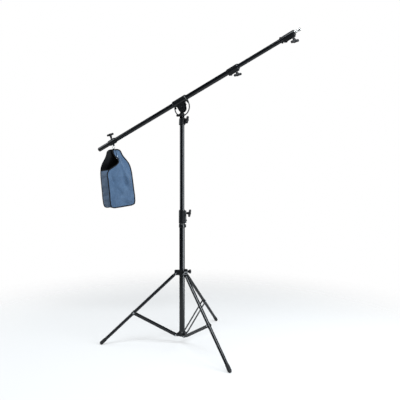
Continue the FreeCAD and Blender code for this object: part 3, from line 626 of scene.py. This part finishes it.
cloth = Finish("slate_cloth")
flat = cloth.node("Attribute", {"attribute_name": "threads"}, out="Vector")
flat_parts = cloth.node("SeparateXYZ", None, flat, out="X"), cloth.node("SeparateXYZ", None, flat, out="Y")
warp = (flat_parts[0] * (math.pi / THREAD)).sine()
weft = (flat_parts[1] * (math.pi / THREAD)).sine()
over = (warp * weft * 3.0).step(-1.0, 1.0)
ridges = over * warp.absolute() + (1 - over) * weft.absolute()
where = cloth.place()
fading = cloth.noise(where, 70 * MM, detail=4.0, roughness=0.6)
slubs = cloth.noise(where, 2.5 * MM, detail=2.0)
dyed = cloth.blend(fading.step(0.35, 0.75), CLOTH, CLOTH_WORN)
cloth.set(Base_Color=cloth.blend(ridges.step(0.1, 0.55), CLOTH_GAP, dyed),
          Roughness=0.62 + slubs * 0.2, Sheen_Weight=0.25, Sheen_Roughness=0.5, Specular_IOR_Level=0.3)
puckers = cloth.noise(where, 14 * MM, detail=3.0)
cloth.relief(ridges * 0.25 + slubs * 0.25 + puckers * 1.4, 0.9 * MM)

lining = Finish("rubbery_lining")
where = lining.place()
wrinkle = lining.noise(where, 9 * MM, detail=4.0)
lining.set(Base_Color=lining.blend(wrinkle, (0.004, 0.004, 0.005), (0.009, 0.009, 0.011)),
           Roughness=0.6 + wrinkle * 0.2, Specular_IOR_Level=0.2)
lining.relief(wrinkle, 0.5 * MM)

bag_mesh.materials.append(cloth.material)
bag_mesh.materials.append(lining.material)
thickness = bag.modifiers.new("thickness", "SOLIDIFY")
thickness.thickness, thickness.offset = CLOTH_THICK, -1.0
thickness.material_offset = 1
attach(bag, "bag")
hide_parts("bag")
print("thread pitch", THREAD, "m")

# %% [markdown]
# ## Tape, webbing and thread
# Binding tape, a webbing loop and a line of stitches are all one shape carried along a line, so one helper makes
# them: at each point it needs the way the edge faces and the way the cloth faces, and it lays a flat rounded
# section between those two. A curve with a bevel would do for a round cord, but it rolls as it likes round a bend,
# and tape mustn't.

# %% A flat section carried along a line
def smoothed(line, closed, times=2):
    for _ in range(times):
        rolled = [(line[i - 1] + line[i] * 2 + line[(i + 1) % len(line)]) / 4 for i in range(len(line))]
        line = rolled if closed else [line[0]] + rolled[1:-1] + [line[-1]]
    return line


def even_line(line, pitch, closed=False):
    """The same line with its points a pitch apart."""
    path = np.array(line + ([line[0]] if closed else []), float)
    travelled = np.concatenate([[0], np.cumsum(np.linalg.norm(np.diff(path, axis=0), axis=1))])
    count = max(3, int(round(travelled[-1] / pitch)))
    at = np.linspace(0, travelled[-1], count + 1)[: count if closed else count + 1]
    return [Vector([np.interp(t, travelled, path[:, k]) for k in range(3)]) for t in at]


def tape(name, line, outward, half_width, half_thick, closed, finish, sides=14):
    """A soft flat band; outward(point, tangent) gives the way its width runs."""
    verts, quads, along = [], [], []
    count = len(line)
    for i, p in enumerate(line):
        ahead = line[(i + 1) % count] if closed or i < count - 1 else p
        behind = line[i - 1] if closed or i > 0 else p
        tangent = (ahead - behind).normalized()
        wide = outward(p, tangent)
        wide = (wide - tangent * wide.dot(tangent)).normalized()
        thick = tangent.cross(wide)
        for k in range(sides):
            c, s = math.cos(2 * math.pi * k / sides), math.sin(2 * math.pi * k / sides)
            c, s = math.copysign(abs(c) ** 0.6, c), math.copysign(abs(s) ** 0.6, s)
            verts.append(tuple(p + wide * (c * half_width) + thick * (s * half_thick)))
            along.append((c * half_width, i * 2.0 * MM, 0))
    rings = count if closed else count - 1
    for i in range(rings):
        for k in range(sides):
            a, b = i * sides, ((i + 1) % count) * sides
            quads.append((a + k, a + (k + 1) % sides, b + (k + 1) % sides, b + k))
    if not closed:
        quads.append(tuple(range(sides))[::-1])
        quads.append(tuple((count - 1) * sides + k for k in range(sides)))
    made = build(name, verts, quads, finish)
    lay_threads(made.data, along)
    return made


# %% Black tape
RIB = 1.1 * MM

webbing = Finish("black_webbing")
flat = webbing.node("Attribute", {"attribute_name": "threads"}, out="Vector")
lengthwise = webbing.node("SeparateXYZ", None, flat, out="Y")
ribs = (lengthwise * (math.pi / RIB)).sine().absolute()
where = webbing.place()
lint = webbing.noise(where, 1.2 * MM, detail=3.0)
webbing.set(Base_Color=webbing.blend(ribs * lint, (0.004, 0.004, 0.005), (0.012, 0.013, 0.016)),
            Roughness=0.66 + lint * 0.2, Specular_IOR_Level=0.2)
webbing.relief(ribs * 0.7 + lint * 0.3, 0.25 * MM)
print("rib every", RIB, "m")

# %% Binding round the panels
TAPE_HALF = 4.6 * MM
TAPE_THICK = 2.1 * MM
TAPE_PROUD = 0.9 * MM
TAPE_PITCH = 2 * MM


def panel_edge(side):
    """The panel's whole edge: down the near side, along the foot, up the far side and over the top."""
    grid = panel[side]
    last = len(drops) - 1
    places = [(i, 0) for i in range(last)] + [(last, j) for j in range(COLUMNS)]
    places += [(i, COLUMNS) for i in range(last, 0, -1)] + [(0, j) for j in range(COLUMNS, 0, -1)]
    return smoothed([points[grid[i, j]] for i, j in places], True)


bindings = []
for side, name in ((1, "front_binding"), (-1, "back_binding")):
    proud = facing * (side * TAPE_PROUD)
    edge = [p + proud for p in even_line(panel_edge(side), TAPE_PITCH, closed=True)]
    splay = facing * (side * 0.35)
    bindings.append(tape(name, edge, lambda p, t, splay=splay: t.cross(facing) + splay, TAPE_HALF, TAPE_THICK,
                         True, webbing))
for name, row in (("near_mouth_binding", 0), ("far_mouth_binding", -1)):
    mouth = even_line([points[v] for v in strip[row]], TAPE_PITCH)
    bindings.append(tape(name, mouth, lambda p, t: -down, TAPE_HALF, TAPE_THICK, False, webbing))
for piece in bindings:
    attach(piece, "bag")
print([b.name for b in bindings])

# %% [markdown]
# ### Thread
# Lockstitch shows as short dashes of thread with the needle holes between them. At this size each dash can simply
# be modelled: a bead of a few sides, laid on the tape a little in from its inner edge.

# %% Stitches
STITCH = 3.0 * MM
STITCH_PITCH = 4.2 * MM
THREAD_R = 0.38 * MM
STITCH_INSET = 1.6 * MM
STITCH_LIFT = 3.0 * MM

sewing = Finish("sewing_thread")
where = sewing.place()
twist = sewing.noise(where, 0.5 * MM)
sewing.set(Base_Color=sewing.blend(twist, (0.020, 0.024, 0.032), (0.050, 0.058, 0.075)),
           Roughness=0.6 + twist * 0.2)


def stitches(name, line, lift, closed=True):
    """One mesh of dashes along the line; lift is added to every point."""
    verts, quads = [], []
    spots = even_line(line, STITCH_PITCH, closed)
    for i, p in enumerate(spots[: None if closed else -1]):
        way = (spots[(i + 1) % len(spots)] - p).normalized()
        side = way.cross(facing).normalized()
        rise = side.cross(way)
        base = len(verts)
        for share, girth in ((0, 0.35), (0.2, 1), (0.8, 1), (1, 0.35)):
            centre = p + lift + way * (STITCH * share)
            verts += [tuple(centre + (side * math.cos(t) + rise * math.sin(t)) * THREAD_R * girth)
                      for t in (k * math.pi / 3 for k in range(6))]
        for ring in range(3):
            for k in range(6):
                a, b = base + ring * 6, base + ring * 6 + 6
                quads.append((a + k, a + (k + 1) % 6, b + (k + 1) % 6, b + k))
        quads += [tuple(base + k for k in range(6))[::-1], tuple(base + 18 + k for k in range(6))]
    made = build(name, verts, quads, sewing)
    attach(made, "bag")
    return made


for side, name in ((1, "front_stitches"), (-1, "back_stitches")):
    edge = even_line(panel_edge(side), STITCH_PITCH, closed=True)
    inner = []
    for i, p in enumerate(edge):
        way = (edge[(i + 1) % len(edge)] - edge[i - 1]).normalized()
        inner.append(p - way.cross(facing).normalized() * STITCH_INSET)
    made = stitches(name, inner, facing * (side * STITCH_LIFT))
    print(name, len(made.data.polygons) // 20, "stitches")

# %% [markdown]
# ## Webbing loop and eyelet
# A short webbing loop goes round the hook's wire and down between the two panels, where it's sewn in. In front a
# nickel eyelet goes through the neck, with the snap that closes the mouth next to it. Round things like these are
# turned: a profile spun about an axis, as on a lathe.

# %% Webbing loop
WEB_THICK = 0.75 * MM
WEB_HALF = 7.0 * MM
LOOP_R = 3.3 * MM
TAIL = 34 * MM

turns = np.linspace(math.pi * 1.15, -math.pi * 0.15, 15)
bend = [(LOOP_R * math.cos(t), LOOP_R * math.sin(t)) for t in turns]
legs = [(1.0 * MM, -TAIL * s) for s in (1.0, 0.7, 0.4, 0.22)]
profile = [(-x, z) for x, z in legs] + bend + legs[::-1]
loop = even_line([hook_point + Vector((x, 0, z)) for x, z in profile], 1.2 * MM)
hook_loop = tape("hook_loop", loop, lambda p, t: Vector((0, 1, 0)), WEB_HALF, WEB_THICK, False, webbing)
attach(hook_loop, "bag")
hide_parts("bag_strap")
print("loop of", len(loop), "points")


# %% A lathe
def turned(name, profile, at, along, finish, body, steps=32):
    """Spins (radius, height) points in metres about the line through at."""
    along = Vector(along).normalized()
    side = along.orthogonal().normalized()
    third = along.cross(side)
    verts, quads = [], []
    for r, h in profile:
        for k in range(steps):
            t = 2 * math.pi * k / steps
            verts.append(tuple(Vector(at) + along * h + (side * math.cos(t) + third * math.sin(t)) * r))
    for i in range(len(profile) - 1):
        for k in range(steps):
            a, b = i * steps, (i + 1) * steps
            quads.append((a + k, a + (k + 1) % steps, b + (k + 1) % steps, b + k))
    quads.append(tuple(range(steps))[::-1])
    quads.append(tuple((len(profile) - 1) * steps + k for k in range(steps)))
    made = build(name, verts, quads, finish)
    made.data.set_sharp_from_angle(angle=math.radians(40))
    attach(made, body)
    return made


# %% Eyelet and snap
# (across, drop) in millimetres
EYELET_AT = (13, 61)
SNAP_AT = (18, 76)
SHADE_DISC_LIFT = 0.8 * MM


def on_front(a, drop):
    """The front panel's point nearest to (a, drop) in millimetres, and the way it faces."""
    i = int(np.argmin(abs(drops - drop)))
    share = (a - near_edge[1][i]) / (far_edge[i] - near_edge[1][i])
    j = int(np.clip(round(share * COLUMNS), 1, COLUMNS - 1))
    grid = panel[1]
    down_way = points[grid[i + 1, j]] - points[grid[i - 1, j]]
    over_way = points[grid[i, j + 1]] - points[grid[i, j - 1]]
    return points[grid[i, j]], down_way.cross(over_way).normalized()


EYELET = [(4.4, -0.6), (4.4, 0.8), (5.4, 1.7), (7.2, 1.9), (8.6, 1.1), (8.9, -0.6)]
# The eyelet's hole isn't cut: a flat near-black disc, (radius, height) in millimetres, is painted shade for its dark
# inside
HOLE_SHADE_DISC = [(4.4, -0.5), (0.4, -0.4)]
SNAP = [(0.5, -0.5), (4.6, -0.5), (4.8, 1.2), (4.2, 2.6), (2.4, 3.4), (0.3, 3.6)]

spot, faces_way = on_front(*EYELET_AT)
turned("eyelet", [(r * MM, h * MM) for r, h in EYELET + EYELET[:1]], spot, faces_way, nickel, "bag")
# painted shade: a near-black disc in the lining's finish lies over the cloth inside the eyelet, where the hole would
# look dark
turned("eyelet_hole", [(r * MM, h * MM) for r, h in HOLE_SHADE_DISC], spot + faces_way * SHADE_DISC_LIFT, faces_way, lining,
       "bag")
spot, faces_way = on_front(*SNAP_AT)
turned("snap", [(r * MM, h * MM) for r, h in SNAP], spot, faces_way, screws, "bag")
print("eyelet at", tuple(round(c, 3) for c in spot))

# %% The tab's two edges on the neck
TAB_HALF = 10.0
TAB_MIDDLE = 3.0
SEAM_HALF = 1.5 * MM
SEAM_THICK = 0.7 * MM
for n, a in enumerate((TAB_MIDDLE - TAB_HALF, TAB_MIDDLE + TAB_HALF)):
    run = []
    for drop in np.linspace(9, 50, 12):
        p, way = on_front(a, drop)
        run.append(p + way * 0.5 * MM)
    seam = even_line(smoothed(run, False), 1.5 * MM)
    piece = tape(f"neck_seam_{n + 1}", seam, lambda p, t: across, SEAM_HALF, SEAM_THICK, False, webbing,
                 sides=10)
    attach(piece, "bag")
print("neck seams sewn")

# %% [markdown]
# ## Small turned and moulded details
# Each handle's screw is moulded in, and a press-in cap hides the end of it. The caps sit on the handles' outer
# faces, which are found from the parts themselves: the point of the handle that is furthest out along the axis it
# turns on. The feet have three moulded ribs, found from the leg's own line in the same way.

# %% Handle caps
# (radius, height) in millimetres
CAP = [(7.4, -0.6), (7.4, 0.5), (6.9, 1.0), (5.9, 1.1), (5.6, 0.7), (5.2, 0.7), (4.8, 1.3), (2.6, 1.8),
       (0.2, 1.9)]


def reach(names, start, way):
    """How far the parts go from start along way."""
    co = np.concatenate([np.array([v.co for v in nodes[n].data.vertices]) for n in names])
    return float(((co - np.array(start)) @ np.array(way)).max())


for joint in joints.values():
    if not joint["name"].endswith("_knob_turn"):
        continue
    pin, way = Vector(joint["pos_m"]), Vector(joint["axis"]).normalized()
    name = joint["child"]
    out, back = reach([name], pin, way), reach([name], pin, -way)
    way, out = (way, out) if out > back else (-way, back)
    turned(name + "_cap", [(r * MM, h * MM) for r, h in CAP], pin + way * out, way, handle, name)
print("a cap on every handle")

# %% Foot ribs
RIB_PITCH = 7.0 * MM
RIB_HEIGHT = 0.7 * MM
RIB_HALF = 1.3 * MM
RIB_SUNK = 0.4 * MM
FIRST_RIB = 14 * MM

for leg in LEGS:
    pin = Vector(joints[f"leg_{leg}_hinge"]["pos_m"])
    line = span(f"leg_{leg}_tube")
    foot_reach = reach([f"leg_{leg}_foot_cap"], pin, line)
    cap_end = pin + line * foot_reach
    cloud = np.array([v.co for v in nodes[f"leg_{leg}_foot_cap"].data.vertices]) - np.array(pin)
    off = cloud - np.outer(cloud @ np.array(line), np.array(line))
    sleeve_r = float(np.linalg.norm(off, axis=1).max())
    for k in range(3):
        at = cap_end - line * (FIRST_RIB + k * RIB_PITCH)
        rib = [(sleeve_r - RIB_SUNK, -RIB_HALF), (sleeve_r + RIB_HEIGHT * 0.8, -RIB_HALF * 0.6),
               (sleeve_r + RIB_HEIGHT, 0), (sleeve_r + RIB_HEIGHT * 0.8, RIB_HALF * 0.6),
               (sleeve_r - RIB_SUNK, RIB_HALF)]
        turned(f"leg_{leg}_foot_rib_{k + 1}", rib + rib[:1], at, line, rubber, f"leg_{leg}")
print("foot ribs of radius", round(sleeve_r + RIB_HEIGHT, 4))

# %% [markdown]
# ## The floor
# The stand needs something pale to stand on, so that its feet have contact shadows. The floor is a disc of studio
# paper that thins out to nothing before its edge, so no horizon crosses the picture and the white round it seems
# to go on for ever. That fade depends only on the distance from the column. The paper is thin as well, so it throws
# little light back up into the black legs. It's staging, and not part of the stand.

# %% Floor
FLOOR_R = 4.0
FADE = (0.9, 2.6)
COVER = 0.6
GLOW = 0.2

paper = Finish("studio_paper")
away = paper.place().length()
paper.set(Base_Color=(0.93, 0.93, 0.93), Roughness=0.9, Specular_IOR_Level=0.0, Emission_Color=(1, 1, 1),
          Emission_Strength=GLOW, Alpha=(1 - away.step(*FADE)) * COVER)
bearings = np.linspace(0, 2 * math.pi, 96, endpoint=False)
rim = [(FLOOR_R * math.cos(t), FLOOR_R * math.sin(t), 0) for t in bearings]
floor = build("floor", rim, [tuple(range(len(rim)))], paper, smooth=False)
print("floor fades from", FADE[0], "to", FADE[1], "m")
